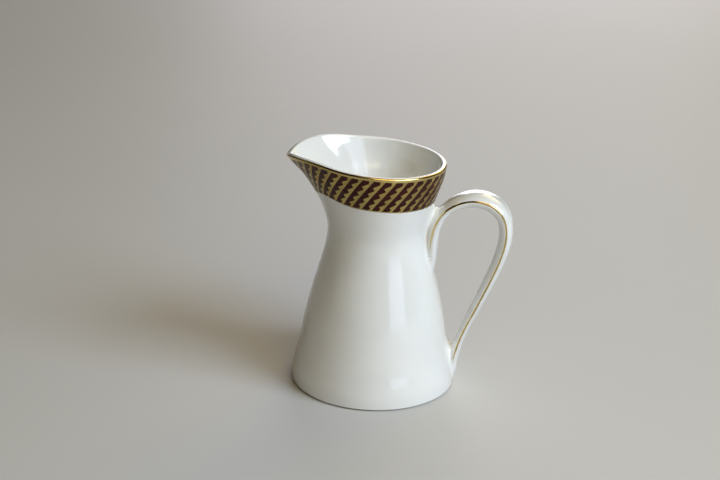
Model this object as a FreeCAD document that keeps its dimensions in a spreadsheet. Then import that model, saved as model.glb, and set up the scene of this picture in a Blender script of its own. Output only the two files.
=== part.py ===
import FreeCAD, Part
import math, os
from FreeCAD import Vector

# Porcelain cream jug. Millimetres, +Z up. The origin is the centre of the standing ring on the table plane,
# the pouring spout points to -X, the handle to +X, and the jug is symmetric about the plane Y = 0.

doc = FreeCAD.newDocument("cream_jug")
sheet = doc.addObject("Spreadsheet::Sheet", "dims")

SIZES = [
    ("foot_height", 0.6), ("foot_outer_low", 36.0), ("foot_outer_high", 36.5),
    ("foot_inner_low", 33.4), ("foot_inner_high", 32.8), ("foot_edge_round", 0.12),
    ("wall", 2.3), ("floor_level", 5.2), ("well_corner", 6.0),
    # heights of the stations of the turned profile, and its radii there
    ("height_a", 5.625), ("height_b", 15.0), ("height_c", 30.0), ("height_d", 45.0), ("height_e", 60.0),
    ("height_f", 75.0), ("height_g", 82.5), ("height_h", 90.0), ("height_i", 97.5), ("height_j", 106.875),
    ("base_radius", 37.5), ("radius_a", 37.24), ("radius_b", 35.04), ("radius_c", 32.21), ("radius_d", 28.79),
    ("radius_e", 24.66), ("radius_f", 22.57), ("radius_g", 23.91), ("radius_h", 25.70), ("radius_i", 28.21),
    ("radius_j", 29.89),
    # how far the spout stands out of the turned profile at rising heights
    ("spout_start", 63.75), ("spout_at_g", 0.851), ("spout_at_h", 2.921), ("spout_at_i", 5.764),
    ("spout_lip_low_height", 102.0), ("spout_lip_low", 9.424), ("spout_lip_high", 13.91),
    ("spout_sharp_low", 6.0), ("spout_sharp_high", 2.018), ("spout_fall", 0.272),
    ("spout_round_low", 0.35), ("spout_round_high", 0.06),
    # the rim seen from the side: it climbs from the handle to the shoulders of the spout, then dips to the tip
    ("rim_back", 105.25), ("rim_quarter", 105.65), ("rim_mid", 106.9), ("rim_shoulder_low", 108.75),
    ("rim_shoulder", 109.37), ("rim_dip", 108.35), ("rim_tip", 105.15),
    ("band_skin", 0.15), ("band_drop", 16.95), ("band_top_drop", 2.0),
    # handle: half widths across Y, half thicknesses in its plane
    ("handle_wide", 7.15), ("handle_wide_top", 7.35), ("handle_wide_tail", 4.1),
    ("handle_thick", 2.35), ("handle_thick_top", 3.45), ("handle_thick_tail", 1.9),
    ("handle_gold_width", 0.9), ("handle_gold_skin", 0.2),
    ("slip_reach", 1.3),
]
for row, (alias, value) in enumerate(SIZES, start=1):
    sheet.set("A%d" % row, alias)
    sheet.set("B%d" % row, repr(float(value)))
    sheet.setAlias("B%d" % row, alias)
doc.recompute()


def size(alias):
    return float(sheet.get(alias))


# ---------------------------------------------------------------- curves through stations
def spline_through(xs, ys):
    # natural cubic spline as a function
    n = len(xs)
    h = [xs[i + 1] - xs[i] for i in range(n - 1)]
    al = [0.0] + [3 * ((ys[i + 1] - ys[i]) / h[i] - (ys[i] - ys[i - 1]) / h[i - 1]) for i in range(1, n - 1)] + [0.0]
    l, mu, z = [1.0], [0.0], [0.0]
    for i in range(1, n - 1):
        l.append(2 * (xs[i + 1] - xs[i - 1]) - h[i - 1] * mu[i - 1])
        mu.append(h[i] / l[i])
        z.append((al[i] - h[i - 1] * z[i - 1]) / l[i])
    c = [0.0] * n
    b = [0.0] * n
    d = [0.0] * n
    for j in range(n - 2, -1, -1):
        c[j] = z[j] - mu[j] * c[j + 1]
        b[j] = (ys[j + 1] - ys[j]) / h[j] - h[j] * (c[j + 1] + 2 * c[j]) / 3
        d[j] = (c[j + 1] - c[j]) / (3 * h[j])
    last = b[n - 2] + 2 * c[n - 2] * h[n - 2] + 3 * d[n - 2] * h[n - 2] ** 2

    def value(x):
        if x <= xs[0]:
            return ys[0] + b[0] * (x - xs[0])
        if x >= xs[-1]:
            return ys[-1] + last * (x - xs[-1])
        i = 0
        while i < n - 2 and x > xs[i + 1]:
            i += 1
        t = x - xs[i]
        return ys[i] + b[i] * t + c[i] * t * t + d[i] * t ** 3
    return value


def monotone_through(xs, ys):
    # monotone cubic Hermite interpolation, straight beyond both ends
    n = len(xs)
    h = [xs[i + 1] - xs[i] for i in range(n - 1)]
    m = [(ys[i + 1] - ys[i]) / h[i] for i in range(n - 1)]
    d = [m[0]] + [0.0] * (n - 2) + [m[-1]]
    for i in range(1, n - 1):
        if m[i - 1] * m[i] > 0:
            w1, w2 = 2 * h[i] + h[i - 1], h[i] + 2 * h[i - 1]
            d[i] = (w1 + w2) / (w1 / m[i - 1] + w2 / m[i])

    def value(x):
        if x <= xs[0]:
            return ys[0] + d[0] * (x - xs[0])
        if x >= xs[-1]:
            return ys[-1] + d[-1] * (x - xs[-1])
        i = 0
        while i < n - 2 and x > xs[i + 1]:
            i += 1
        t = (x - xs[i]) / h[i]
        return (ys[i] * (1 + 2 * t) * (1 - t) ** 2 + d[i] * h[i] * t * (1 - t) ** 2
                + ys[i + 1] * t * t * (3 - 2 * t) + d[i + 1] * h[i] * t * t * (t - 1))
    return value


turned = spline_through(
    [0.0] + [size("height_" + k) for k in "abcdefghij"],
    [size("base_radius")] + [size("radius_" + k) for k in "abcdefghij"])
spout_out = monotone_through(
    [size("spout_start"), size("height_f"), size("height_g"), size("height_h"), size("height_i"),
     size("spout_lip_low_height"), size("height_j")],
    [0.0, 0.0, size("spout_at_g"), size("spout_at_h"), size("spout_at_i"), size("spout_lip_low"),
     size("spout_lip_high")])


def outer_radius(angle, z):
    # angle is measured from the spout, 0 to pi on each side
    a = abs(angle)
    t = min(max((z - 67.5) / 37.5, 0.0), 1.2)
    k = size("spout_sharp_low") + (size("spout_sharp_high") - size("spout_sharp_low")) * t
    e = size("spout_round_low") + (size("spout_round_high") - size("spout_round_low")) * min(t, 1.0)
    c = size("spout_fall")

    def shape(x):
        return math.exp(-k * (math.sqrt(x * x + e * e) - e) - c * x * x)
    reach = spout_out(z) if z > size("spout_start") else 0.0
    return turned(z) + reach * (shape(a) - shape(math.pi))


COUNT = 48
ANGLES = [-math.pi + 2 * math.pi * i / COUNT for i in range(COUNT)]
# points crowd towards the spout ridge, where the section bends most
ANGLES = [a - 0.42 * math.sin(a) for a in ANGLES]


def ring(z, skin):
    # horizontal section of the surface lying "skin" outside (or inside, if negative) the outer surface
    fine = 360
    pts = []
    for i in range(fine):
        a = -math.pi + 2 * math.pi * i / fine
        a = a - 0.42 * math.sin(a)
        r = outer_radius(a, z)
        pts.append((-r * math.cos(a), r * math.sin(a), a))
    if skin == 0.0:
        return [Vector(-outer_radius(a, z) * math.cos(a), outer_radius(a, z) * math.sin(a), z) for a in ANGLES]
    out = []
    shifted = []
    for i in range(fine):
        x0, y0, _ = pts[i - 1]
        x2, y2, _ = pts[(i + 1) % fine]
        x, y, a = pts[i]
        tx, ty = x2 - x0, y2 - y0
        n = math.hypot(tx, ty)
        nx, ny = -ty / n, tx / n
        if nx * x + ny * y < 0:
            nx, ny = -nx, -ny
        # allow for the slope of the wall
        slope = (outer_radius(a, z + 0.5) - outer_radius(a, z - 0.5)) / 1.0
        slope *= abs(nx * (-math.cos(a)) + ny * math.sin(a))
        s = skin * math.sqrt(1 + slope * slope)
        shifted.append((x + nx * s, y + ny * s))
    for a in ANGLES:
        dx, dy = -math.cos(a), math.sin(a)
        best = None
        for i in range(fine):
            x0, y0 = shifted[i - 1]
            x1, y1 = shifted[i]
            ex, ey = x1 - x0, y1 - y0
            det = dx * (-ey) + ex * dy
            if abs(det) < 1e-12:
                continue
            r = (x0 * (-ey) + ex * y0) / det
            u = (dx * y0 - dy * x0) / det
            if -1e-9 <= u <= 1 + 1e-9 and r > 0:
                if best is None or (r < best if skin < 0 else r > best):
                    best = r
        out.append(Vector(best * dx, best * dy, z))
    return out


def section(label, points):
    # a closed smooth section wire kept in the document for the lofts to follow
    curve = Part.BSplineCurve()
    curve.interpolate(Points=points, PeriodicFlag=True)
    obj = doc.addObject("Part::Feature", label)
    obj.Shape = Part.Wire([curve.toShape()])
    obj.Visibility = False
    return obj


def loft(label, sections):
    obj = doc.addObject("Part::Loft", label)
    obj.Sections = sections
    obj.Solid = True
    obj.Ruled = False
    obj.Closed = False
    obj.Visibility = False
    return obj


LEVELS = [1.6, 5.6, 11.0, 18.0, 27.0, 37.0, 47.0, 56.0, 64.0, 71.0, 77.0, 82.0, 86.5, 91.0, 95.5, 99.5, 103.0,
          106.5, 110.5]
foot_height = size("foot_height")
LEVELS[0] = foot_height


def shell_loft(label, skin, levels):
    return loft(label, [section("%s_section_%d" % (label, i), ring(z, skin)) for i, z in enumerate(levels)])


outside = shell_loft("outside_form", 0.0, LEVELS)
floor = size("floor_level")
INNER_LEVELS = [floor] + [z for z in LEVELS if z > floor + 4.0]
inside = shell_loft("inside_form", -size("wall"), INNER_LEVELS)
doc.recompute()

# rounded corner at the bottom of the well
well = doc.addObject("Part::Fillet", "well_form")
well.Base = inside
edges = []
for i, e in enumerate(inside.Shape.Edges, start=1):
    bb = e.BoundBox
    if bb.ZMax < floor + 0.01:
        edges.append((i, size("well_corner"), size("well_corner")))
well.Edges = edges
doc.recompute()
if (not well.Shape.isValid()) or well.Shape.isNull() or well.Shape.Volume < 1000:
    print("well fillet not usable")
    doc.removeObject(well.Name)
    well = inside


# ---------------------------------------------------------------- rim height, seen from the side
rim_height = spline_through(
    [-42.5, -39.0, -36.0, -33.0, -30.0, -26.0, -21.0, -15.0, -7.5, 0.0, 7.5, 15.0, 22.5, 30.0],
    [size("rim_tip") - 0.7, 107.31, size("rim_dip"), 109.05, size("rim_shoulder"), 109.3, size("rim_shoulder_low"),
     108.0, 107.37, size("rim_mid"), 106.37, 105.95, size("rim_quarter"), size("rim_back")])


def side_slab(label, drop_top, drop_bottom):
    # the space between two curves parallel to the rim seen from the side, through the whole width of the jug
    xs = [-46 + 4.0 * i for i in range(24)]
    top = [Vector(x, -60, rim_height(max(min(x, 31.0), -42.5)) - drop_top) for x in xs]
    ct = Part.BSplineCurve()
    ct.interpolate(top)
    if drop_bottom is None:
        low = [Vector(xs[0], -60, -5), Vector(xs[-1], -60, -5)]
        cb = Part.LineSegment(low[0], low[1])
    else:
        low = [Vector(x, -60, rim_height(max(min(x, 31.0), -42.5)) - drop_bottom) for x in xs]
        cb = Part.BSplineCurve()
        cb.interpolate(low)
    wire = Part.Wire([ct.toShape(), Part.LineSegment(top[-1], low[-1]).toShape(), cb.toShape(),
                      Part.LineSegment(low[0], top[0]).toShape()])
    outline = doc.addObject("Part::Feature", label + "_outline")
    outline.Shape = Part.Face(wire)
    outline.Visibility = False
    slab = doc.addObject("Part::Extrusion", label)
    slab.Base = outline
    slab.DirMode = "Custom"
    slab.Dir = Vector(0, 1, 0)
    slab.LengthFwd = 120
    slab.Solid = True
    slab.Visibility = False
    return slab


def cut(label, base, tool):
    obj = doc.addObject("Part::Cut", label)
    obj.Base = base
    obj.Tool = tool
    obj.Visibility = False
    return obj


def common(label, base, tool):
    obj = doc.addObject("Part::Common", label)
    obj.Base = base
    obj.Tool = tool
    obj.Visibility = False
    return obj


below_rim = side_slab("below_rim", 0.0, None)
hollowed = cut("hollowed", outside, well)
trimmed = common("trimmed_body", hollowed, below_rim)
doc.recompute()

# the inner edge of the lip is rounded
body = doc.addObject("Part::Fillet", "jug_body_solid")
body.Base = trimmed
lip_edges = []
for i, e in enumerate(trimmed.Shape.Edges, start=1):
    bb = e.BoundBox
    if bb.ZMin > 100 and bb.XMax < 29.5 and bb.XLength > 30:
        lip_edges.append((i, 0.8, 0.8))
body.Edges = lip_edges
doc.recompute()
if body.Shape.isNull() or (not body.Shape.isValid()) or len(body.Shape.Solids) != 1 or body.Shape.Volume < 1000:
    print("lip fillet not usable", len(lip_edges))
    doc.removeObject(body.Name)
    body = trimmed
body.Label = "jug_body"


# ---------------------------------------------------------------- foot ring: a revolved sketch
foot = doc.addObject("PartDesign::Body", "foot_ring")
foot.Label = "foot_ring"
sk = foot.newObject("Sketcher::SketchObject", "foot_profile")
plane = [o for o in foot.Origin.OriginFeatures if "XZ" in o.Name or "XZ" in o.Label][0]
sk.AttachmentSupport = [(plane, "")]
sk.MapMode = "FlatFace"
doc.recompute()
import Sketcher
er = size("foot_edge_round")
P = [(size("foot_inner_low"), 0.0), (size("foot_outer_low"), 0.0), (size("foot_outer_high"), er * 2),
     (size("foot_outer_high"), size("foot_height")), (size("foot_inner_high"), size("foot_height"))]
for i in range(5):
    a, b = P[i], P[(i + 1) % 5]
    sk.addGeometry(Part.LineSegment(Vector(a[0], a[1], 0), Vector(b[0], b[1], 0)), False)
for i in range(5):
    sk.addConstraint(Sketcher.Constraint("Coincident", i, 2, (i + 1) % 5, 1))
names = [("foot_inner_low", "DistanceX", 0, 1), ("foot_outer_low", "DistanceX", 0, 2),
         ("foot_outer_high", "DistanceX", 1, 2), ("foot_inner_high", "DistanceX", 3, 2)]
sk.addConstraint(Sketcher.Constraint("Horizontal", 0))
sk.addConstraint(Sketcher.Constraint("Vertical", 2))
sk.addConstraint(Sketcher.Constraint("Horizontal", 3))
sk.addConstraint(Sketcher.Constraint("PointOnObject", 0, 1, -1))
for alias, kind, g, v in names:
    c = sk.addConstraint(Sketcher.Constraint(kind, -1, 1, g, v, size(alias)))
    sk.setExpression("Constraints[%d]" % c, "dims." + alias)
c = sk.addConstraint(Sketcher.Constraint("DistanceY", -1, 1, 3, 1, size("foot_height")))
sk.setExpression("Constraints[%d]" % c, "dims.foot_height")
c = sk.addConstraint(Sketcher.Constraint("DistanceY", -1, 1, 2, 1, er * 2))
sk.setExpression("Constraints[%d]" % c, "dims.foot_edge_round * 2")
doc.recompute()
rev = foot.newObject("PartDesign::Revolution", "foot_turned")
rev.Profile = sk
rev.ReferenceAxis = (sk, ["V_Axis"])
rev.Angle = 360
doc.recompute()
foot.Tip = rev


# ---------------------------------------------------------------- handle: lofted along its centre line
# centre line in the plane Y = 0, from inside the neck, over the top and down to inside the flank
LINE = [(22.6, 53.5), (24.75, 58.5), (25.15, 64.0), (25.37, 70.0), (26.74, 77.52), (30.18, 83.93), (35.14, 87.85),
        (41.51, 90.0), (48.85, 89.16), (55.0, 84.55), (57.5, 75.64), (55.85, 64.36), (51.1, 50.77),
        (46.3, 38.86), (41.3, 26.6), (38.4, 16.32), (37.2, 9.0), (36.6, 5.6), (35.2, 2.8)]
lengths = [0.0]
for (x0, z0), (x1, z1) in zip(LINE, LINE[1:]):
    lengths.append(lengths[-1] + math.hypot(x1 - x0, z1 - z0))
line_x = spline_through(lengths, [p[0] for p in LINE])
line_z = spline_through(lengths, [p[1] for p in LINE])
total = lengths[-1]


def handle_at(s):
    x, z = line_x(s), line_z(s)
    dx, dz = (line_x(s + 0.05) - line_x(s - 0.05)), (line_z(s + 0.05) - line_z(s - 0.05))
    n = math.hypot(dx, dz)
    dx, dz = dx / n, dz / n
    return x, z, -dz, dx          # outward normal lies in the plane


s_root, s_top, s_tail = lengths[3], lengths[8], lengths[15]
half_wide = monotone_through(
    [0.0, lengths[1], s_root, lengths[7], s_top + 9, lengths[12], lengths[14], s_tail, lengths[16], lengths[17], total],
    [2.6, size("handle_wide") - 1.9, size("handle_wide"), size("handle_wide"), size("handle_wide_top"), 6.1, 4.8,
     size("handle_wide_tail"), 3.7, 3.2, 2.3])
half_thick = monotone_through(
    [0.0, lengths[1], s_root, lengths[5], lengths[8], lengths[10], lengths[12], s_tail, lengths[16], lengths[17], total],
    [1.2, 2.0, size("handle_thick"), 2.5, size("handle_thick_top"), 3.2, 2.6, size("handle_thick_tail"), 1.85, 1.75,
     1.3])
# where the gold line runs on the section, measured from the centre towards the outside of the loop
gold_shift = monotone_through([0.0, lengths[5], lengths[8], lengths[11], s_tail], [0.9, 0.9, 0.7, -0.05, -0.4])


def oval(s, grow_wide, grow_thick, shift=0.0):
    x, z, nx, nz = handle_at(s)
    a, b = half_wide(s) + grow_wide, half_thick(s) + grow_thick
    pts = []
    for i in range(24):
        t = 2 * math.pi * i / 24
        c, q = math.cos(t), math.sin(t)
        cy = math.copysign(abs(c) ** 0.87, c) * a
        cn = math.copysign(abs(q) ** 0.87, q) * b - shift
        pts.append(Vector(x + nx * cn, cy, z + nz * cn))
    return pts


stations = [total * i / 27.0 for i in range(28)]
handle_form = loft("handle_form", [section("handle_section_%d" % i, oval(s, 0, 0)) for i, s in enumerate(stations)])
handle = cut("handle_solid", handle_form, outside)
handle.Label = "handle"
doc.recompute()


# ---------------------------------------------------------------- slip joints at both roots of the handle
reach = size("slip_reach")
near_wall = shell_loft("near_wall_form", reach, LEVELS)


def slip_joint(label, s0, s1, count):
    st = [s0 + (s1 - s0) * i / (count - 1.0) for i in range(count)]
    fat = loft(label + "_form", [section("%s_section_%d" % (label, i), oval(s, reach, reach, 0.4))
                                 for i, s in enumerate(st)])
    skin = common(label + "_near", fat, near_wall)
    less_body = cut(label + "_outside_body", skin, outside)
    out = cut(label + "_solid", less_body, handle_form)
    out.Label = label
    return out


upper = slip_joint("upper_slip_joint", 1.0, lengths[4] + 4.0, 9)
lower = slip_joint("lower_slip_joint", lengths[14] + 8.5, total, 7)
doc.recompute()


# ---------------------------------------------------------------- decoration: thin fired-on layers
gilt = size("band_skin")
upper_levels = [z for z in LEVELS if z > 80]
gilt_form = shell_loft("gilt_form", gilt, LEVELS)
band_zone = side_slab("band_zone", size("band_top_drop"), size("band_drop"))
band_block = common("band_block", gilt_form, band_zone)
band = cut("decor_band_solid", band_block, outside)
band.Label = "decor_band"

# gold line: a narrow strip round the outside of the lip, meeting the band at its lower edge
strip_zone = side_slab("lip_strip_zone", 0.0, size("band_top_drop"))
strip_block = common("lip_strip_block", gilt_form, strip_zone)
rim_gold = cut("rim_gold_solid", strip_block, outside)
rim_gold.Label = "rim_gold_line"


# gold lines along the front (-Y) and back (+Y) edges of the handle
def handle_line(label, s0, s1, count):
    sections = []
    w, skin = size("handle_gold_width"), size("handle_gold_skin")
    for i in range(count):
        s = s0 + (s1 - s0) * i / (count - 1.0)
        x, z, nx, nz = handle_at(s)
        a, b, g = half_wide(s), half_thick(s), gold_shift(s)
        pts = []
        for n, out in ((g - w / 2, skin), (g, skin), (g + w / 2, skin), (g + w / 2, -0.6), (g, -0.6), (g - w / 2, -0.6)):
            f = max(0.0, 1 - (abs(n) / b) ** 2.3) ** (1 / 2.3)
            pts.append(Vector(x + nx * n, a * f + out, z + nz * n))
        obj = doc.addObject("Part::Feature", "%s_section_%d" % (label, i))
        obj.Shape = Part.makePolygon(pts + [pts[0]])
        obj.Visibility = False
        sections.append(obj)
    form = loft(label + "_form", sections)
    out = cut(label + "_solid", form, handle_form)
    out.Label = label
    return out


gold_back = handle_line("handle_gold_line_back", lengths[3] - 2.0, lengths[14] + 12.5, 28)
gold_front = doc.addObject("Part::Mirroring", "handle_gold_line_front_solid")
gold_front.Source = gold_back
gold_front.Base = Vector(0, 0, 0)
gold_front.Normal = Vector(0, 1, 0)
gold_front.Label = "handle_gold_line_front"
doc.recompute()


# ---------------------------------------------------------------- checks and output
nodes = [body, foot, handle, upper, lower, band, rim_gold, gold_front, gold_back]
os.makedirs("parts", exist_ok=True)
for old in os.listdir("parts"):
    if old.endswith(".step"):
        os.remove(os.path.join("parts", old))
bad = []
for obj in doc.Objects:
    state = " ".join(obj.State)
    if "Invalid" in state or "Error" in state:
        bad.append((obj.Label, state))
for node in nodes:
    shape = node.Shape
    if shape.isNull() or not shape.isValid():
        bad.append((node.Label, "shape"))
        continue
    print(node.Label, "solids", len(shape.Solids), "volume", round(shape.Volume, 2), "valid", shape.isValid(),
          [round(v, 2) for v in (shape.BoundBox.XMin, shape.BoundBox.XMax, shape.BoundBox.YMin, shape.BoundBox.YMax,
                                 shape.BoundBox.ZMin, shape.BoundBox.ZMax)],
          [round(s.Volume, 2) for s in shape.Solids])
if bad:
    raise RuntimeError("not sound: %r" % (bad,))
for node in nodes:
    node.Placement = FreeCAD.Placement()
    node.Shape.exportStep(os.path.join("parts", node.Label + ".step"))
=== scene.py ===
import math
import bpy
import numpy as np
from mathutils import Matrix, Vector


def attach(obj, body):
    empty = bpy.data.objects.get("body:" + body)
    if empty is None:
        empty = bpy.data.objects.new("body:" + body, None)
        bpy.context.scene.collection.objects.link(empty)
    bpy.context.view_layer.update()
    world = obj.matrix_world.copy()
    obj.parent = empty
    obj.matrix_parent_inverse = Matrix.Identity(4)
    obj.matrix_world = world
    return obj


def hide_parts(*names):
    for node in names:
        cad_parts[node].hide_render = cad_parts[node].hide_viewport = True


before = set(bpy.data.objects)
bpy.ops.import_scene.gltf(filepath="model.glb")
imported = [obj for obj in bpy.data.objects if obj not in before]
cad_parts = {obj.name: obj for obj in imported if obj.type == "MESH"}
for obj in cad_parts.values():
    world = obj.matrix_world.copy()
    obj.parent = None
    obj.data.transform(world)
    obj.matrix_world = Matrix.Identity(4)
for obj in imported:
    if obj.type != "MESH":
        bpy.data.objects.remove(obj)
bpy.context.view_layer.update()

MM = 0.001
scene = bpy.context.scene


# ------------------------------------------------------------------ curves through stations (millimetres)
class Natural:
    """Natural cubic spline, straight beyond its ends."""

    def __init__(self, xs, ys):
        x, y = np.array(xs, float), np.array(ys, float)
        n = len(x)
        h = np.diff(x)
        A = np.zeros((n, n))
        rhs = np.zeros(n)
        A[0, 0] = A[-1, -1] = 1
        for i in range(1, n - 1):
            A[i, i - 1], A[i, i], A[i, i + 1] = h[i - 1], 2 * (h[i - 1] + h[i]), h[i]
            rhs[i] = 3 * ((y[i + 1] - y[i]) / h[i] - (y[i] - y[i - 1]) / h[i - 1])
        c = np.linalg.solve(A, rhs)
        self.x, self.y, self.c = x, y, c
        self.b = (y[1:] - y[:-1]) / h - h * (c[1:] + 2 * c[:-1]) / 3
        self.d = (c[1:] - c[:-1]) / (3 * h)
        self.h = h
        self.last = self.b[-1] + 2 * c[-2] * h[-1] + 3 * self.d[-1] * h[-1] ** 2

    def __call__(self, v):
        v = np.asarray(v, float)
        i = np.clip(np.searchsorted(self.x, v) - 1, 0, len(self.x) - 2)
        t = v - self.x[i]
        r = self.y[i] + self.b[i] * t + self.c[i] * t * t + self.d[i] * t ** 3
        r = np.where(v < self.x[0], self.y[0] + self.b[0] * (v - self.x[0]), r)
        return np.where(v > self.x[-1], self.y[-1] + self.last * (v - self.x[-1]), r)


class Monotone:
    """Monotone cubic Hermite curve, straight beyond its ends."""

    def __init__(self, xs, ys):
        x, y = np.array(xs, float), np.array(ys, float)
        h = np.diff(x)
        m = np.diff(y) / h
        d = np.zeros(len(x))
        d[0], d[-1] = m[0], m[-1]
        for i in range(1, len(x) - 1):
            if m[i - 1] * m[i] > 0:
                w1, w2 = 2 * h[i] + h[i - 1], h[i] + 2 * h[i - 1]
                d[i] = (w1 + w2) / (w1 / m[i - 1] + w2 / m[i])
        self.x, self.y, self.h, self.d = x, y, h, d

    def __call__(self, v):
        v = np.asarray(v, float)
        i = np.clip(np.searchsorted(self.x, v) - 1, 0, len(self.x) - 2)
        h = self.h[i]
        t = (v - self.x[i]) / h
        r = (self.y[i] * (1 + 2 * t) * (1 - t) ** 2 + self.d[i] * h * t * (1 - t) ** 2
             + self.y[i + 1] * t * t * (3 - 2 * t) + self.d[i + 1] * h * t * t * (t - 1))
        r = np.where(v < self.x[0], self.y[0] + self.d[0] * (v - self.x[0]), r)
        return np.where(v > self.x[-1], self.y[-1] + self.d[-1] * (v - self.x[-1]), r)


# ------------------------------------------------------------------ the jug's own shape, same numbers as the CAD
turned = Natural([0, 5.625, 15, 30, 45, 60, 75, 82.5, 90, 97.5, 106.875],
                 [37.5, 37.24, 35.04, 32.21, 28.79, 24.66, 22.57, 23.91, 25.70, 28.21, 29.89])
spout_out = Monotone([63.75, 75, 82.5, 90, 97.5, 102, 106.875], [0, 0, 0.851, 2.921, 5.764, 9.424, 13.91])
rim_height = Natural([-42.5, -39, -36, -33, -30, -26, -21, -15, -7.5, 0, 7.5, 15, 22.5, 30],
                     [104.2, 107.06, 108.1, 108.8, 109.12, 109.05, 108.5, 107.75, 107.12, 106.65, 106.12, 105.7,
                      105.4, 105.0])
WALL = 2.3
FLOOR = 5.2


def outer(a, z):
    """Radius of the outside at angle a from the spout and height z."""
    a = np.abs(a)
    t = np.clip((z - 67.5) / 37.5, 0, 1.2)
    k = 6.0 + (2.018 - 6.0) * t
    e = 0.35 + (0.06 - 0.35) * np.minimum(t, 1)

    def shape(x):
        return np.exp(-k * (np.sqrt(x * x + e * e) - e) - 0.272 * x * x)
    reach = np.where(z > 63.75, spout_out(z), 0.0)
    return turned(z) + reach * (shape(a) - shape(math.pi))


def place(a, r, z):
    return np.stack([-r * np.cos(a), r * np.sin(a), z + 0 * r], -1)


def rim_at(a):
    """Height of the rim above angle a."""
    z = np.full_like(a, 106.0)
    for _ in range(30):
        x = -outer(a, z) * np.cos(a)
        z = 0.5 * z + 0.5 * rim_height(np.clip(x, -42.5, 31.0))
    return z


NA = 320
U = -math.pi + 2 * math.pi * np.arange(NA) / NA
ANG = U - 0.42 * np.sin(U)
RIM = rim_at(ANG)


def surface(a, z, lift=0.0):
    """Points on the outside, lifted along the surface normal by lift."""
    a, z = np.broadcast_arrays(np.asarray(a, float), np.asarray(z, float))
    p = place(a, outer(a, z), z)
    n = normal(a, z)
    return p + n * np.asarray(lift)[..., None]


def normal(a, z):
    da, dz = 1e-3, 0.02
    ta = place(a + da, outer(a + da, z), z) - place(a - da, outer(a - da, z), z)
    tz = place(a, outer(a, z + dz), z + dz) - place(a, outer(a, z - dz), z - dz)
    n = np.cross(tz, ta)
    n /= np.linalg.norm(n, axis=-1, keepdims=True)
    flip = np.sum(n * place(a, np.ones_like(a), z * 0), -1) < 0
    n[flip] *= -1
    return n


# inside radius on a grid of heights: where a ray from the axis first meets the outer section shifted in by the wall
Z_GRID = np.arange(5.0, 112.01, 0.5)
FINE = 1080
UF = -math.pi + 2 * math.pi * np.arange(FINE) / FINE
AF = UF - 0.42 * np.sin(UF)


def inside_row(z):
    r = outer(AF, np.full(FINE, z))
    p = place(AF, r, np.full(FINE, z))[:, :2]
    t = np.roll(p, -1, 0) - np.roll(p, 1, 0)
    n = np.stack([-t[:, 1], t[:, 0]], -1)
    n /= np.linalg.norm(n, axis=1)[:, None]
    n[np.sum(n * p, 1) < 0] *= -1
    slope = (outer(AF, np.full(FINE, z + 0.5)) - outer(AF, np.full(FINE, z - 0.5)))
    slope = slope * np.abs(np.sum(n * p, 1)) / r
    q = p - n * (WALL * np.sqrt(1 + slope ** 2))[:, None]
    q0, q1 = q, np.roll(q, -1, 0)
    e = q1 - q0
    dx, dy = -np.cos(ANG), np.sin(ANG)
    det = dx[:, None] * (-e[None, :, 1]) + e[None, :, 0] * dy[:, None]
    det = np.where(np.abs(det) < 1e-12, 1e-12, det)
    rr = (q0[None, :, 0] * (-e[None, :, 1]) + e[None, :, 0] * q0[None, :, 1]) / det
    uu = (dx[:, None] * q0[None, :, 1] - dy[:, None] * q0[None, :, 0]) / det
    rr = np.where((uu >= -1e-6) & (uu <= 1 + 1e-6) & (rr > 0), rr, 1e9)
    return rr.min(1)


INSIDE = np.array([inside_row(z) for z in Z_GRID])
# the hollow of the spout is a rounded valley, not a crease
SMOOTH = INSIDE.copy()
for _ in range(60):
    SMOOTH = 0.5 * SMOOTH + 0.25 * (np.roll(SMOOTH, 1, 1) + np.roll(SMOOTH, -1, 1))
INSIDE = INSIDE + (SMOOTH - INSIDE) * np.exp(-(ANG / 0.5) ** 2)[None, :]


def inner(j, z):
    """Inside radius at angle index j (all of them) and heights z, one per angle."""
    f = np.clip((z - Z_GRID[0]) / 0.5, 0, len(Z_GRID) - 1.001)
    i = f.astype(int)
    t = f - i
    return INSIDE[i, j] * (1 - t) + INSIDE[i + 1, j] * t


# ------------------------------------------------------------------ mesh helpers
def make(name, verts, faces, material, body="root", slot=None, replaces=(), smooth=True, normals=None):
    me = bpy.data.meshes.new(name)
    me.from_pydata([tuple(v) for v in (np.asarray(verts, float) * MM)], [], faces)
    me.validate()
    me.update()
    me.materials.append(material)
    me.polygons.foreach_set("use_smooth", [smooth] * len(me.polygons))
    o = bpy.data.objects.new(name, me)
    scene.collection.objects.link(o)
    if normals is not None:
        me.normals_split_custom_set_from_vertices([tuple(n) for n in normals])
    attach(o, body)
    if replaces:
        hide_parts(*replaces)
    return o


def grid_faces(rows, cols, closed_cols=True, closed_rows=False, flip=False, offset=0):
    faces = []
    for i in range(rows if closed_rows else rows - 1):
        i2 = (i + 1) % rows
        for j in range(cols if closed_cols else cols - 1):
            j2 = (j + 1) % cols
            f = (offset + i * cols + j, offset + i * cols + j2, offset + i2 * cols + j2, offset + i2 * cols + j)
            faces.append(f[::-1] if flip else f)
    return faces


def outward(obj):
    """Turns the faces so that they all point out."""
    import bmesh
    bm = bmesh.new()
    bm.from_mesh(obj.data)
    bmesh.ops.recalc_face_normals(bm, faces=bm.faces)
    if bm.calc_volume(signed=True) < 0:
        bmesh.ops.reverse_faces(bm, faces=bm.faces)
    bm.to_mesh(obj.data)
    bm.free()
    obj.data.update()
    return obj


# ------------------------------------------------------------------ materials
def new_material(name):
    m = bpy.data.materials.new(name)
    m.use_nodes = True
    nt = m.node_tree
    bsdf = nt.nodes["Principled BSDF"]
    coord = nt.nodes.new("ShaderNodeTexCoord")
    return m, nt, bsdf, coord


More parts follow.
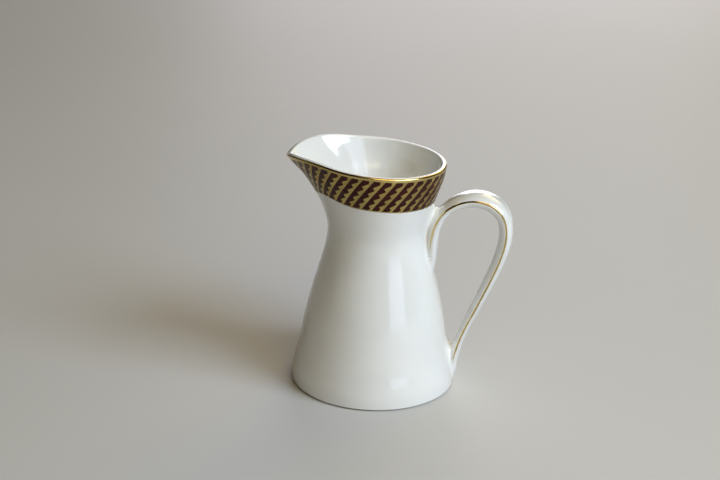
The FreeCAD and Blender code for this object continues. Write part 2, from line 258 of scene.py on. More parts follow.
def noise(nt, coord, scale, detail=4.0, rough=0.5):
    n = nt.nodes.new("ShaderNodeTexNoise")
    n.inputs["Scale"].default_value = scale
    n.inputs["Detail"].default_value = detail
    n.inputs["Roughness"].default_value = rough
    nt.links.new(coord.outputs["Object"], n.inputs["Vector"])
    return n


def ramp(nt, src, stops):
    r = nt.nodes.new("ShaderNodeValToRGB")
    r.color_ramp.elements[0].position = stops[0][0]
    r.color_ramp.elements[0].color = (*stops[0][1], 1)
    r.color_ramp.elements[1].position = stops[-1][0]
    r.color_ramp.elements[1].color = (*stops[-1][1], 1)
    for p, c in stops[1:-1]:
        e = r.color_ramp.elements.new(p)
        e.color = (*c, 1)
    nt.links.new(src, r.inputs["Fac"])
    return r


def bump(nt, bsdf, src, distance, strength=1.0, below=None):
    b = nt.nodes.new("ShaderNodeBump")
    b.inputs["Strength"].default_value = strength
    b.inputs["Distance"].default_value = distance
    nt.links.new(src, b.inputs["Height"])
    if below is not None:
        nt.links.new(below.outputs["Normal"], b.inputs["Normal"])
    nt.links.new(b.outputs["Normal"], bsdf.inputs["Normal"])
    return b


def porcelain():
    m, nt, bsdf, coord = new_material("porcelain_glaze")
    cloud = noise(nt, coord, 38.0, 3.0)
    tone = ramp(nt, cloud.outputs["Fac"], [(0.3, (0.800, 0.812, 0.806)), (0.7, (0.842, 0.850, 0.842))])
    # a few pin-sized specks under the glaze
    speck = nt.nodes.new("ShaderNodeTexVoronoi")
    speck.inputs["Scale"].default_value = 260.0
    nt.links.new(coord.outputs["Object"], speck.inputs["Vector"])
    speck_mask = ramp(nt, speck.outputs["Distance"], [(0.0, (0.90, 0.88, 0.85)), (0.055, (1, 1, 1))])
    mix = nt.nodes.new("ShaderNodeMix")
    mix.data_type = "RGBA"
    mix.blend_type = "MULTIPLY"
    mix.inputs["Factor"].default_value = 1.0
    nt.links.new(tone.outputs["Color"], mix.inputs["A"])
    nt.links.new(speck_mask.outputs["Color"], mix.inputs["B"])
    nt.links.new(mix.outputs["Result"], bsdf.inputs["Base Color"])
    haze = noise(nt, coord, 90.0, 5.0)
    rough = ramp(nt, haze.outputs["Fac"], [(0.35, (0.085,) * 3), (0.75, (0.135,) * 3)])
    nt.links.new(rough.outputs["Color"], bsdf.inputs["Roughness"])
    bsdf.inputs["IOR"].default_value = 1.52
    bsdf.inputs["Specular IOR Level"].default_value = 0.55
    bsdf.inputs["Coat Weight"].default_value = 0.6
    bsdf.inputs["Coat Roughness"].default_value = 0.03
    ripple = noise(nt, coord, 55.0, 2.0)
    orange = noise(nt, coord, 420.0, 2.0)
    b1 = bump(nt, bsdf, ripple.outputs["Fac"], 0.00006, 0.5)
    bump(nt, bsdf, orange.outputs["Fac"], 0.000012, 0.5, below=b1)
    return m


def bare_porcelain():
    m, nt, bsdf, coord = new_material("ground_bare_foot")
    grain = noise(nt, coord, 900.0, 6.0, 0.7)
    tone = ramp(nt, grain.outputs["Fac"], [(0.3, (0.46, 0.43, 0.38)), (0.62, (0.66, 0.63, 0.58)), (0.8, (0.72, 0.70, 0.66))])
    stain = noise(nt, coord, 70.0, 3.0)
    stain_tone = ramp(nt, stain.outputs["Fac"], [(0.35, (0.82, 0.78, 0.70)), (0.6, (1, 1, 1))])
    mix = nt.nodes.new("ShaderNodeMix")
    mix.data_type = "RGBA"
    mix.blend_type = "MULTIPLY"
    mix.inputs["Factor"].default_value = 1.0
    nt.links.new(tone.outputs["Color"], mix.inputs["A"])
    nt.links.new(stain_tone.outputs["Color"], mix.inputs["B"])
    nt.links.new(mix.outputs["Result"], bsdf.inputs["Base Color"])
    rough = ramp(nt, grain.outputs["Fac"], [(0.3, (0.72,) * 3), (0.8, (0.9,) * 3)])
    nt.links.new(rough.outputs["Color"], bsdf.inputs["Roughness"])
    bump(nt, bsdf, grain.outputs["Fac"], 0.00006, 0.7)
    return m


def gilding(name, bright, deep, low_rough, high_rough, worn):
    m, nt, bsdf, coord = new_material(name)
    tone_noise = noise(nt, coord, 130.0, 5.0)
    tone = ramp(nt, tone_noise.outputs["Fac"], [(0.3, deep), (0.7, bright)])
    nt.links.new(tone.outputs["Color"], bsdf.inputs["Base Color"])
    bsdf.inputs["Metallic"].default_value = 1.0
    brush = noise(nt, coord, 700.0, 4.0, 0.6)
    rough = ramp(nt, brush.outputs["Fac"], [(0.3, (low_rough,) * 3), (0.7, (high_rough,) * 3)])
    nt.links.new(rough.outputs["Color"], bsdf.inputs["Roughness"])
    b1 = bump(nt, bsdf, tone_noise.outputs["Fac"], 0.00006, 0.5)
    bump(nt, bsdf, brush.outputs["Fac"], worn, 0.6, below=b1)
    return m


def stripe_enamel():
    m, nt, bsdf, coord = new_material("oxblood_enamel")
    cloud = noise(nt, coord, 240.0, 5.0, 0.6)
    tone = ramp(nt, cloud.outputs["Fac"], [(0.25, (0.020, 0.0010, 0.0008)), (0.75, (0.052, 0.0042, 0.0022))])
    nt.links.new(tone.outputs["Color"], bsdf.inputs["Base Color"])
    rough = ramp(nt, cloud.outputs["Fac"], [(0.3, (0.22,) * 3), (0.7, (0.34,) * 3)])
    nt.links.new(rough.outputs["Color"], bsdf.inputs["Roughness"])
    bsdf.inputs["Specular IOR Level"].default_value = 0.22
    bump(nt, bsdf, cloud.outputs["Fac"], 0.00002, 0.6)
    return m


GLAZE = porcelain()
BARE = bare_porcelain()
GOLD = gilding("polished_gold_line", (0.74, 0.57, 0.25), (0.55, 0.41, 0.15), 0.10, 0.22, 0.00001)
GOLD_GROUND = gilding("printed_gold_ground", (0.56, 0.43, 0.15), (0.33, 0.25, 0.08), 0.20, 0.36, 0.00002)
OXBLOOD = stripe_enamel()


# ------------------------------------------------------------------ body
J = np.arange(NA)
CROWN = RIM + 0.25
SPOUT = np.exp(-(ANG / 0.40) ** 2)
LIP_HIGH = 1.05 - 0.40 * SPOUT
LIP_POWER = 2.5


def lip_curve(z_out, t, lift=0.0):
    """Row of points across the rounded lip: t = 0 on the outside, 1 on the inside."""
    z_in = z_out + 0.9 * (WALL - 0.35 * SPOUT) * np.sin(ALPHA)
    o = place(ANG, outer(ANG, z_out), z_out)
    i = place(ANG, inner(J, z_in), z_in)
    o2 = place(ANG, outer(ANG, z_out - 0.5), z_out - 0.5)
    i2 = place(ANG, inner(J, z_in - 0.5), z_in - 0.5)
    up = (o - o2) / np.linalg.norm(o - o2, axis=1)[:, None] + (i - i2) / np.linalg.norm(i - i2, axis=1)[:, None]
    up /= np.linalg.norm(up, axis=1)[:, None]
    c, q = math.cos(math.pi * t), math.sin(math.pi * t)
    across = (o - i) / 2 * math.copysign(abs(c) ** (2 / LIP_POWER), c)
    p = (o + i) / 2 + across + up * (LIP_HIGH * max(q, 0.0) ** (2 / LIP_POWER))[:, None]
    if lift:
        # away from the middle of the lip's section
        m = (o + i) / 2 - up * 0.3
        n = p - m
        p = p + n / np.linalg.norm(n, axis=1)[:, None] * lift
    return p


ALPHA = np.arctan((outer(ANG, RIM - 0.5) - outer(ANG, RIM - 2.5)) / 2.0)
Z_OUT = CROWN - 1.0
TS = [i / 24 for i in range(25)]
for _ in range(14):
    crown = np.max([lip_curve(Z_OUT, t)[:, 2] for t in TS], 0)
    reach = np.max([np.hypot(*lip_curve(Z_OUT, t)[:, :2].T) for t in TS], 0)
    by_height = CROWN - 0.16 - crown
    by_reach = (outer(ANG, RIM + 0.1) - reach) / np.maximum(np.tan(ALPHA), 0.3)
    w = np.clip(SPOUT * 1.1, 0, 1)
    Z_OUT = Z_OUT + 0.7 * (by_height * (1 - w) + by_reach * w)
Z_IN = Z_OUT + 0.9 * (WALL - 0.35 * SPOUT) * np.sin(ALPHA)


def lip_row(t, lift=0.0):
    return lip_curve(Z_OUT, t, lift)


rows = []
# underside, edge of the foot, outside
for r, zz in ((2.0, 1.05), (8.0, 1.04), (16.0, 0.98), (24.0, 0.86), (29.0, 0.74), (31.5, 0.66), (32.6, 0.62)):
    rows.append(place(ANG, np.full(NA, r), np.full(NA, zz)))
EDGE = 0.45
rows.append(place(ANG, outer(ANG, np.full(NA, 0.62 + EDGE)) - EDGE - 0.15, np.full(NA, 0.62)))
for k in range(1, 7):
    t = k / 6 * math.pi / 2
    zz = 0.62 + EDGE * (1 - math.cos(t))
    rows.append(place(ANG, outer(ANG, np.full(NA, 0.62 + EDGE)) - EDGE * (1 - math.sin(t)), np.full(NA, zz)))
N_OUT = 170
for k in range(1, N_OUT + 1):
    t = k / N_OUT
    z = 0.62 + EDGE + (Z_OUT - 0.62 - EDGE) * t
    rows.append(place(ANG, outer(ANG, z), z))
for t in np.linspace(0, 1, 21)[1:-1]:
    rows.append(lip_row(t))
# inside, corner of the well, floor
CORNER = 6.0
N_IN = 130
for k in range(N_IN + 1):
    t = k / N_IN
    z = Z_IN + (FLOOR + CORNER - Z_IN) * t
    rows.append(place(ANG, inner(J, z), z))
r_corner = inner(J, np.full(NA, FLOOR + CORNER))
for k in range(1, 11):
    t = k / 10 * math.pi / 2
    rows.append(place(ANG, r_corner + 0.35 * math.sin(t / 2) - CORNER * (1 - math.cos(t)), np.full(NA, FLOOR + CORNER * (1 - math.sin(t)))))
r_last = np.linalg.norm(rows[-1][:, :2], axis=1)
for f in (0.85, 0.68, 0.5, 0.32, 0.16, 0.06):
    rows.append(place(ANG, r_last * f, np.full(NA, FLOOR)))
R = len(rows)
verts = np.concatenate(rows + [np.array([[0, 0, 1.05], [0, 0, FLOOR]])])
faces = grid_faces(R, NA)
for j in range(NA):
    faces.append((R * NA, (j + 1) % NA, j))
    faces.append((R * NA + 1, (R - 1) * NA + j, (R - 1) * NA + (j + 1) % NA))
body = outward(make("jug_shell", verts, faces, GLAZE, slot="glaze", replaces=("jug_body",)))


# ------------------------------------------------------------------ foot ring
def ring_piece(name, profile, material, count, **kw):
    n = len(profile)
    vs = []
    for i in range(count):
        a = 2 * math.pi * i / count
        for r, z in profile:
            vs.append((r * math.cos(a), r * math.sin(a), z))
    fs = grid_faces(count, n, closed_cols=True, closed_rows=True)
    return outward(make(name, vs, fs, material, **kw))


prof = [(33.5, 0.0), (34.2, 0.0), (35.0, 0.0), (35.9, 0.0)]
for k in range(1, 6):
    t = k / 5 * math.pi / 2
    prof.append((35.9 + 0.5 * math.sin(t), 0.24 * (1 - math.cos(t))))
prof += [(36.45, 0.4), (36.48, 0.6), (35.0, 0.6), (32.85, 0.6), (33.05, 0.32), (33.3, 0.08)]
ring_piece("foot_bare_ring", prof, BARE, 256, slot="bare_foot", replaces=("foot_ring",))


# ------------------------------------------------------------------ handle
LINE = np.array([(22.6, 53.5), (24.75, 58.5), (25.15, 64.0), (25.37, 70.0), (26.74, 77.52), (30.18, 83.93),
                 (35.14, 87.85), (41.51, 90.0), (48.85, 89.16), (55.0, 84.55), (57.5, 75.64), (55.85, 64.36),
                 (51.1, 50.77), (46.3, 38.86), (41.3, 26.6), (38.4, 16.32), (37.2, 9.0), (36.6, 5.6), (35.2, 2.8)])
LEN = np.concatenate([[0], np.cumsum(np.linalg.norm(np.diff(LINE, axis=0), axis=1))])
TOTAL = LEN[-1]
line_x, line_z = Natural(LEN, LINE[:, 0]), Natural(LEN, LINE[:, 1])
half_wide = Monotone([0, LEN[1], LEN[3], LEN[7], LEN[8] + 9, LEN[12], LEN[14], LEN[15], LEN[16], LEN[17], TOTAL],
                     [2.6, 5.25, 7.15, 7.15, 7.35, 6.1, 4.8, 4.1, 3.7, 3.2, 2.3])
half_thick = Monotone([0, LEN[1], LEN[3], LEN[5], LEN[8], LEN[10], LEN[12], LEN[15], LEN[16], LEN[17], TOTAL],
                      [1.2, 2.0, 2.35, 2.5, 3.45, 3.2, 2.6, 1.9, 1.85, 1.75, 1.3])
gold_shift = Monotone([0, LEN[5], LEN[8], LEN[11], LEN[15]], [0.9, 0.9, 0.7, -0.05, -0.4])
POWER = 2.3


def handle_frame(s):
    s = np.asarray(s, float)
    x, z = line_x(s), line_z(s)
    dx, dz = line_x(s + 0.05) - line_x(s - 0.05), line_z(s + 0.05) - line_z(s - 0.05)
    n = np.hypot(dx, dz)
    dx, dz = dx / n, dz / n
    return x, z, -dz, dx, dx, dz


def clamp_into_wall(p, depth):
    """Points that would reach through the wall stop inside it."""
    r = np.hypot(p[:, 0], p[:, 1])
    a = np.arctan2(p[:, 1], -p[:, 0])
    lim = outer(a, p[:, 2]) - depth
    f = np.where((r < lim) & (r > 1), lim / np.maximum(r, 1e-6), 1.0)
    q = p.copy()
    q[:, 0] *= f
    q[:, 1] *= f
    return q


NS, NT = 300, 72
S = np.linspace(0, TOTAL, NS)
T = 2 * math.pi * np.arange(NT) / NT
hx, hz, nx, nz, tx, tz = handle_frame(S)
c, q = np.cos(T), np.sin(T)
cy = np.sign(c) * np.abs(c) ** (2 / POWER)
cn = np.sign(q) * np.abs(q) ** (2 / POWER)
A, B = half_wide(S), half_thick(S)
P = np.stack([hx[:, None] + nx[:, None] * B[:, None] * cn, A[:, None] * cy + 0 * hx[:, None],
              hz[:, None] + nz[:, None] * B[:, None] * cn], -1).reshape(-1, 3)
ends = np.array([[hx[0], 0, hz[0]], [hx[-1], 0, hz[-1]]])
V = clamp_into_wall(np.concatenate([P, ends]), 1.3)
F = grid_faces(NS, NT)
for j in range(NT):
    F.append((NS * NT, (j + 1) % NT, j))
    F.append((NS * NT + 1, (NS - 1) * NT + j, (NS - 1) * NT + (j + 1) % NT))
handle = outward(make("handle_loop", V, F, GLAZE, slot="glaze", replaces=("handle",)))


# ------------------------------------------------------------------ slip joints: the smooth fillets at the roots
SD = np.linspace(0, TOTAL, 700)
DX, DZ, DNX, DNZ, DTX, DTZ = handle_frame(SD)
DA, DB = half_wide(SD), half_thick(SD)


def handle_field(p):
    """Signed distance to the handle, near enough."""
    out = np.empty(len(p))
    for i in range(0, len(p), 40000):
        blk = p[i:i + 40000]
        d = (blk[:, None, 0] - DX[None]) ** 2 + (blk[:, None, 2] - DZ[None]) ** 2
        k = d.argmin(1)
        n = (blk[:, 0] - DX[k]) * DNX[k] + (blk[:, 2] - DZ[k]) * DNZ[k]
        a, b = DA[k], DB[k]
        u, v = np.abs(blk[:, 1]) / a, np.abs(n) / b
        w = np.maximum((u ** POWER + v ** POWER) ** (1 / POWER), 1e-4)
        g = np.hypot((u / w) ** (POWER - 1) / a, (v / w) ** (POWER - 1) / b)
        dist = (w - 1) / np.maximum(g, 1e-3)
        t = (blk[:, 0] - DX[k]) * DTX[k] + (blk[:, 2] - DZ[k]) * DTZ[k]
        over = np.where((k == 0) | (k == len(SD) - 1), np.abs(t), 0)
        out[i:i + 40000] = np.where(over > 0.3, np.hypot(np.maximum(dist, 0), over), dist)
    return out


def wall_field(p):
    r = np.hypot(p[:, 0], p[:, 1])
    a = np.arctan2(p[:, 1], -p[:, 0])
    s = (outer(a, p[:, 2] + 0.3) - outer(a, p[:, 2] - 0.3)) / 0.6
    return (r - outer(a, p[:, 2])) / np.sqrt(1 + s * s)


def blend(fb, fh, k):
    h = np.maximum(k - np.abs(fb - fh), 0) / k
    return np.minimum(fb, fh) - h * h * k / 4


def ease(z, low, high):
    t = np.clip((z - low) / (high - low), 0, 1)
    return t * t * (3 - 2 * t)


def upper_reach(p):
    return 3.0 + 2.6 * ease(p[:, 2], 70.0, 82.0)


def lower_reach(p):
    return 2.0 + 4.2 * ease(p[:, 2], 11.0, 18.5)


def slip_piece(name, lo, hi, step, reach, replaces):
    n = [int(round((h - l) / step)) + 1 for l, h in zip(lo, hi)]
    ax = [np.linspace(l, l + step * (m - 1), m) for l, m in zip(lo, n)]
    G = np.stack(np.meshgrid(*ax, indexing="ij"), -1).reshape(-1, 3)
    fb, fh = wall_field(G), handle_field(G)
    k = reach(G)
    sm = blend(fb, fh, k)
    deep = 0.45
    f = np.maximum.reduce([sm + 0.02, -(fb + deep), -(fh + deep), (np.abs(fb - fh) - k * 0.98) * 0.7])
    f = f.reshape(n)
    inside = f < 0
    # surface nets
    sx, sy, sz = n
    cell = np.zeros((sx - 1, sy - 1, sz - 1), int)
    corner = [(i, j, l) for i in (0, 1) for j in (0, 1) for l in (0, 1)]
    count = sum(inside[i:sx - 1 + i, j:sy - 1 + j, l:sz - 1 + l].astype(int) for i, j, l in corner)
    mixed = (count > 0) & (count < 8)
    idx = -np.ones(mixed.shape, int)
    idx[mixed] = np.arange(mixed.sum())
    base = np.argwhere(mixed)
    acc = np.zeros((len(base), 3))
    cnt = np.zeros(len(base))
    for a in corner:
        for b in corner:
            if sum(abs(a[m] - b[m]) for m in range(3)) == 1 and a < b:
                fa = f[base[:, 0] + a[0], base[:, 1] + a[1], base[:, 2] + a[2]]
                fb2 = f[base[:, 0] + b[0], base[:, 1] + b[1], base[:, 2] + b[2]]
                cross = (fa < 0) != (fb2 < 0)
                t = np.where(cross, fa / np.where(cross, fa - fb2, 1), 0)
                pt = np.array(a)[None] + (np.array(b) - np.array(a))[None] * t[:, None]
                acc[cross] += pt[cross]
                cnt[cross] += 1
    vs = (base + acc / cnt[:, None]) * step + np.array(lo)[None]
    fs = []
    for axis in range(3):
        o1, o2 = [m for m in range(3) if m != axis]
        sl0 = [slice(1, m - 1) for m in n]
        a0, a1 = list(sl0), list(sl0)
        a0[axis] = slice(0, n[axis] - 1)
        a1[axis] = slice(1, n[axis])
        A0, A1 = inside[tuple(a0)], inside[tuple(a1)]
        for loc in np.argwhere(A0 != A1):
            g = loc.copy()
            for m in range(3):
                if m != axis:
                    g[m] += 1
            quad = []
            for d1, d2 in ((-1, -1), (0, -1), (0, 0), (-1, 0)):
                h = g.copy()
                h[o1] += d1
                h[o2] += d2
                quad.append(idx[h[0], h[1], h[2]])
            if min(quad) >= 0:
                fs.append(tuple(int(v) for v in quad))
    o = outward(make(name, vs, fs, GLAZE, slot="glaze", replaces=replaces))
    vv = np.array([v.co for v in o.data.vertices]) / MM
    e = 0.05
    grad = []
    for m in range(3):
        d = np.zeros(3)
        d[m] = e
        grad.append(blend(wall_field(vv + d), handle_field(vv + d), reach(vv)) - blend(wall_field(vv - d), handle_field(vv - d), reach(vv)))
    grad = np.stack(grad, -1)
    grad /= np.linalg.norm(grad, axis=1)[:, None]
    o.data.normals_split_custom_set_from_vertices([tuple(v) for v in grad])
    return o


slip_piece("upper_root_slip", (16.0, -12.5, 48.0), (35.0, 12.5, 93.0), 0.38, upper_reach, ("upper_slip_joint",))
slip_piece("lower_root_slip", (29.0, -10.0, 0.9), (44.0, 10.0, 30.0), 0.32, lower_reach, ("lower_slip_joint",))


# ------------------------------------------------------------------ neck band: gold ground
def closed_sheet(name, grid_out, grid_in, material, closed_cols, **kw):
    """A thin closed piece between two matching grids of points."""
    rws, cls = grid_out.shape[:2]
    vs = np.concatenate([grid_out.reshape(-1, 3), grid_in.reshape(-1, 3)])
    off = rws * cls
    fs = grid_faces(rws, cls, closed_cols=closed_cols)
    fs += grid_faces(rws, cls, closed_cols=closed_cols, flip=True, offset=off)
    for row in (0, rws - 1):
        for j in range(cls if closed_cols else cls - 1):
            j2 = (j + 1) % cls
            fs.append((row * cls + j, row * cls + j2, off + row * cls + j2, off + row * cls + j))
    if not closed_cols:
        for col in (0, cls - 1):
            for i in range(rws - 1):
                fs.append((i * cls + col, (i + 1) * cls + col, off + (i + 1) * cls + col, off + i * cls + col))
    return outward(make(name, vs, fs, material, **kw))


BAND_LOW, BAND_TOP = 16.65, 1.22
drops = np.linspace(BAND_LOW, BAND_TOP, 40)
lift = np.full(40, 0.05)
lift[0] = 0.0
go = np.stack([surface(ANG, RIM - d, np.full(NA, l)) for d, l in zip(np.r_[BAND_LOW + 0.06, drops[1:]], lift)])
gi = np.stack([surface(ANG, RIM - d, np.full(NA, -0.15)) for d in drops])
ground = closed_sheet("band_gold_ground", go, gi, GOLD_GROUND, True, slot="decor", replaces=("decor_band",))

# oxblood stripes: straight on the spout side, stepped teeth on the other
TOP_DROP, LOW_DROP = 1.62, 16.15
COUNT = 38
knots = np.linspace(-math.pi, math.pi, 2001)


def pitch_deg(a):
    d = np.degrees(np.abs(a))
    return 8.9 + 2.2 * np.clip((d - 70) / 105, 0, 1)


dens = 1 / np.radians(pitch_deg(knots))
cum = np.concatenate([[0], np.cumsum((dens[1:] + dens[:-1]) / 2 * np.diff(knots))])
cum *= COUNT / cum[-1]


def angle_of(s):
    """Angle of stripe coordinate s, which counts pitches."""
    w = np.floor(s / COUNT)
    return np.interp(s - w * COUNT, cum, knots) + w * 2 * math.pi


START = np.interp(math.radians(-10.7), knots, cum)
LEAN = math.radians(21.0)
tip = [0.10 + 0.2125 * i for i in range(5)]
notch = [t + 0.115 for t in tip[:-1]]
W_TIP, W_NOTCH = 0.77, 0.40
vk, wk = [0.0], [W_TIP - 0.20]
for i in range(5):
    vk.append(tip[i])
    wk.append(W_TIP)
    if i < 4:
        vk.append(notch[i])
        wk.append(W_NOTCH)
vk.append(1.0)
wk.append(W_TIP - 0.18)
vs_all = []
for v0, v1 in zip(vk, vk[1:]):
    m = 4
    vs_all += [v0 + (v1 - v0) * i / m for i in range(m)]
vs_all.append(1.0)
vs_all = np.array(vs_all)
ws = np.interp(vs_all, vk, wk)
NC = 9
stripe_v, stripe_f = [], []
for k in range(COUNT):
    s0 = START + k
    a_left_top = angle_of(s0)
    width = angle_of(s0) - angle_of(s0 - 1.0)
    cols = np.linspace(0, 1, NC)
    al = a_left_top + LEAN * vs_all
    aa = al[:, None] - (ws[:, None] * width) * cols[None, :]
    dd = TOP_DROP + (LOW_DROP - TOP_DROP) * vs_all
    flat = aa.ravel()
    wrapped = (flat + math.pi) % (2 * math.pi) - math.pi
    zz = rim_at(wrapped) - np.repeat(dd, NC)
    rws = len(vs_all)
    top_pts = surface(wrapped, zz, np.full(len(zz), 0.085))
    low_pts = surface(wrapped, zz, np.full(len(zz), 0.0))
    off = len(stripe_v) and sum(len(x) for x in stripe_v)
    stripe_v.append(np.concatenate([top_pts, low_pts]))
    n1 = rws * NC
    fs = grid_faces(rws, NC, closed_cols=False, offset=off)
    fs += grid_faces(rws, NC, closed_cols=False, flip=True, offset=off + n1)
    for row in (0, rws - 1):
        for j in range(NC - 1):
            fs.append((off + row * NC + j, off + row * NC + j + 1, off + n1 + row * NC + j + 1, off + n1 + row * NC + j))
    for col in (0, NC - 1):
        for i in range(rws - 1):
            fs.append((off + i * NC + col, off + (i + 1) * NC + col, off + n1 + (i + 1) * NC + col, off + n1 + i * NC + col))
    stripe_f += fs
stripes = outward(make("band_oxblood_stripes", np.concatenate(stripe_v), stripe_f, OXBLOOD, slot="decor", smooth=False))

# gold line: outer half of the lip and just under it
go, gi = [], []
for d, l in ((1.38, 0.02), (1.30, 0.065), (1.15, 0.065)):
    zz = np.minimum(RIM - d, Z_OUT - 0.02 - (d - 1.15))
    go.append(surface(ANG, zz, np.full(NA, l)))
    gi.append(surface(ANG, zz, np.full(NA, -0.12)))
for t in np.linspace(0.04, 0.44, 11):
    l = 0.045 if t < 0.43 else 0.008
    go.append(lip_row(t, l))
    gi.append(lip_row(t, -0.12))
rim_gold = closed_sheet("lip_gold_line", np.stack(go), np.stack(gi), GOLD, True, slot="gold", replaces=("rim_gold_line",))


# ------------------------------------------------------------------ gold lines along both edges of the handle
def edge_line(name, side, node):
    s = np.linspace(LEN[3] - 3.0, LEN[14] + 14.5, 300)
    x, z, nx, nz, tx, tz = handle_frame(s)
    a, b, g = half_wide(s), half_thick(s), gold_shift(s)
    t = np.linspace(0, 1, len(s))
    w = 0.40 * np.clip(np.minimum(t / 0.05, (1 - t) / 0.05), 0.10, 1) ** 0.5
    w = w * (1 + 0.12 * np.sin(s * 0.9) * np.sin(s * 0.37 + 1))
    across = np.linspace(-1, 1, 7)
    n = g[:, None] + w[:, None] * across[None]
    f = np.maximum(0, 1 - (np.abs(n) / b[:, None]) ** POWER) ** (1 / POWER)
    px, pz = x[:, None] + nx[:, None] * n, z[:, None] + nz[:, None] * n
    y = a[:, None] * f
    # where slip lies over the handle, the line runs on the slip
    lo_y, hi_y = y - 0.1, y + 2.2
    k_mid = np.where(pz > 45, 1, 0)
    for _ in range(22):
        mid = (lo_y + hi_y) / 2
        q = np.stack([px.ravel(), mid.ravel(), pz.ravel()], -1)
        reach = np.where(k_mid.ravel() == 1, upper_reach(q), lower_reach(q))
        low = (blend(wall_field(q), handle_field(q), reach) < 0).reshape(mid.shape)
        lo_y, hi_y = np.where(low, mid, lo_y), np.where(low, hi_y, mid)
    near = (pz < 24) | ((pz < 92) & (px < 38))
    y = np.where(near, np.maximum(y, (lo_y + hi_y) / 2 - 0.02), y)
    up = 0.075 * np.sqrt(np.clip(1 - across ** 2, 0, 1))[None] - 0.004

    def sheet(extra):
        return np.stack([px, side * (y + extra), pz], -1)
    return closed_sheet(name, sheet(up), sheet(-0.35), GOLD, False, slot="gold", replaces=(node,))


edge_line("handle_gold_front", -1, "handle_gold_line_front")
edge_line("handle_gold_back", 1, "handle_gold_line_back")


# ------------------------------------------------------------------ floor, light, camera
def floor_piece():
    m, nt, bsdf, coord = new_material("pale_table")
    cloud = noise(nt, coord, 1.3, 3.0)
    tone = ramp(nt, cloud.outputs["Fac"], [(0.3, (0.56, 0.56, 0.56)), (0.7, (0.60, 0.60, 0.60))])
    nt.links.new(tone.outputs["Color"], bsdf.inputs["Base Color"])
    bsdf.inputs["Roughness"].default_value = 0.55
    bsdf.inputs["Specular IOR Level"].default_value = 0.3
    me = bpy.data.meshes.new("table")
    n = 96
    rr = [0.0, 0.15, 0.4, 0.8, 1.3, 1.9]
    vs = [(0, 0, 0)]
    for r in rr[1:]:
        vs += [(r * math.cos(2 * math.pi * i / n), r * math.sin(2 * math.pi * i / n), 0) for i in range(n)]
    fs = [(0, 1 + i, 1 + (i + 1) % n) for i in range(n)]
    for k in range(len(rr) - 2):
        fs += [(1 + k * n + i, 1 + k * n + (i + 1) % n, 1 + (k + 1) * n + (i + 1) % n, 1 + (k + 1) * n + i)[::-1] for i in range(n)]
    me.from_pydata(vs, [], fs)
    me.update()
    me.materials.append(m)
    o = bpy.data.objects.new("table", me)
    scene.collection.objects.link(o)
    return o


floor_piece()


def area(name, loc, target, size_x, size_y, power, color):
    d = bpy.data.lights.new(name, "AREA")
    d.shape = "RECTANGLE"
    d.size, d.size_y = size_x, size_y
    d.energy = power
    d.color = color
    o = bpy.data.objects.new(name, d)
    scene.collection.objects.link(o)
    o.location = loc
    o.rotation_euler = (Vector(target) - Vector(loc)).to_track_quat("-Z", "Y").to_euler()
    return o


def sky_light(name, azimuth, height, red, green, blue, width=0.85, tall=0.85):
    """Soft light 1.7 m away; azimuth counts from +X, and the camera is at -90."""
    az, el = math.radians(azimuth), math.radians(height)
    loc = (1.7 * math.cos(az) * math.cos(el), 1.7 * math.sin(az) * math.cos(el), 1.7 * math.sin(el) + 0.03)
    top = max(red, green, blue)
    area(name, loc, (0, 0, 0.05), width, tall, 20.0 * top, (red / top, green / top, blue / top))


sky_light("window", -25, 38, 0.76, 0.90, 1.05)
sky_light("window_upper", -45, 64, 0.29, 0.24, 0.17, 1.4, 1.4)
sky_light("far_wall", 90, 14, 0.275, 0.275, 0.315)
sky_light("near_upper", -70, 38, 0.26, 0.21, 0.10)
sky_light("far_upper", 65, 38, 0.25, 0.195, 0.08)
sky_light("window_low", -45, 14, 0.142, 0.165, 0.210)

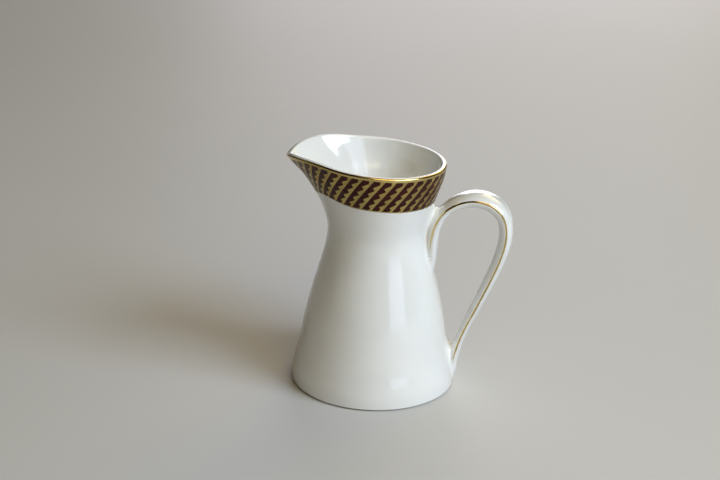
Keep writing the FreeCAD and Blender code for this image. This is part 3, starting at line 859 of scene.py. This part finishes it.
world = bpy.data.worlds.new("room")
world.use_nodes = True
bg = world.node_tree.nodes["Background"]
bg.inputs["Color"].default_value = (0.62, 0.50, 0.36, 1)
bg.inputs["Strength"].default_value = 0.035
# the empty room behind the table is a plain pale grey
wn = world.node_tree
seen, pick = wn.nodes.new("ShaderNodeBackground"), wn.nodes.new("ShaderNodeMixShader")
seen.inputs["Color"].default_value = (0.44, 0.44, 0.435, 1)
seen.inputs["Strength"].default_value = 1.0
ray = wn.nodes.new("ShaderNodeLightPath")
wn.links.new(ray.outputs["Is Camera Ray"], pick.inputs[0])
wn.links.new(bg.outputs["Background"], pick.inputs[1])
wn.links.new(seen.outputs["Background"], pick.inputs[2])
wn.links.new(pick.outputs["Shader"], wn.nodes["World Output"].inputs["Surface"])
scene.world = world
scene.view_settings.view_transform = "Standard"

# camera solved from the photograph's perspective
Dh, Cz = 16.87093870 * 37.5, 8.19578645 * 37.5
pitch, yaw, roll, turn = 0.363460381, -0.0118356426, 0.0333463440, math.radians(5.0)
fw = np.array([math.sin(yaw) * math.cos(pitch), math.cos(yaw) * math.cos(pitch), -math.sin(pitch)])
right = np.array([math.cos(yaw), -math.sin(yaw), 0.0])
up = np.cross(right, fw)
r2 = right * math.cos(roll) + up * math.sin(roll)
u2 = -right * math.sin(roll) + up * math.cos(roll)
Rz = np.array([[math.cos(turn), -math.sin(turn), 0], [math.sin(turn), math.cos(turn), 0], [0, 0, 1]])
fw = fw - r2 * (0.55 / 1500) + u2 * (0.75 / 1500)
fw /= np.linalg.norm(fw)
r2 = r2 - fw * np.dot(r2, fw)
r2 /= np.linalg.norm(r2)
u2 = np.cross(r2, fw)
loc = Rz @ np.array([0, -Dh, Cz]) * MM
X, Y, Z = Rz @ r2, Rz @ u2, Rz @ (-fw)
cam = bpy.data.cameras.new("camera")
cam.sensor_width = 36.0
cam.lens = 75.0
cam.clip_start = 0.01
cam.clip_end = 50
co = bpy.data.objects.new("camera", cam)
scene.collection.objects.link(co)
co.matrix_world = Matrix(((X[0], Y[0], Z[0], loc[0]), (X[1], Y[1], Z[1], loc[1]), (X[2], Y[2], Z[2], loc[2]), (0, 0, 0, 1)))
scene.camera = co
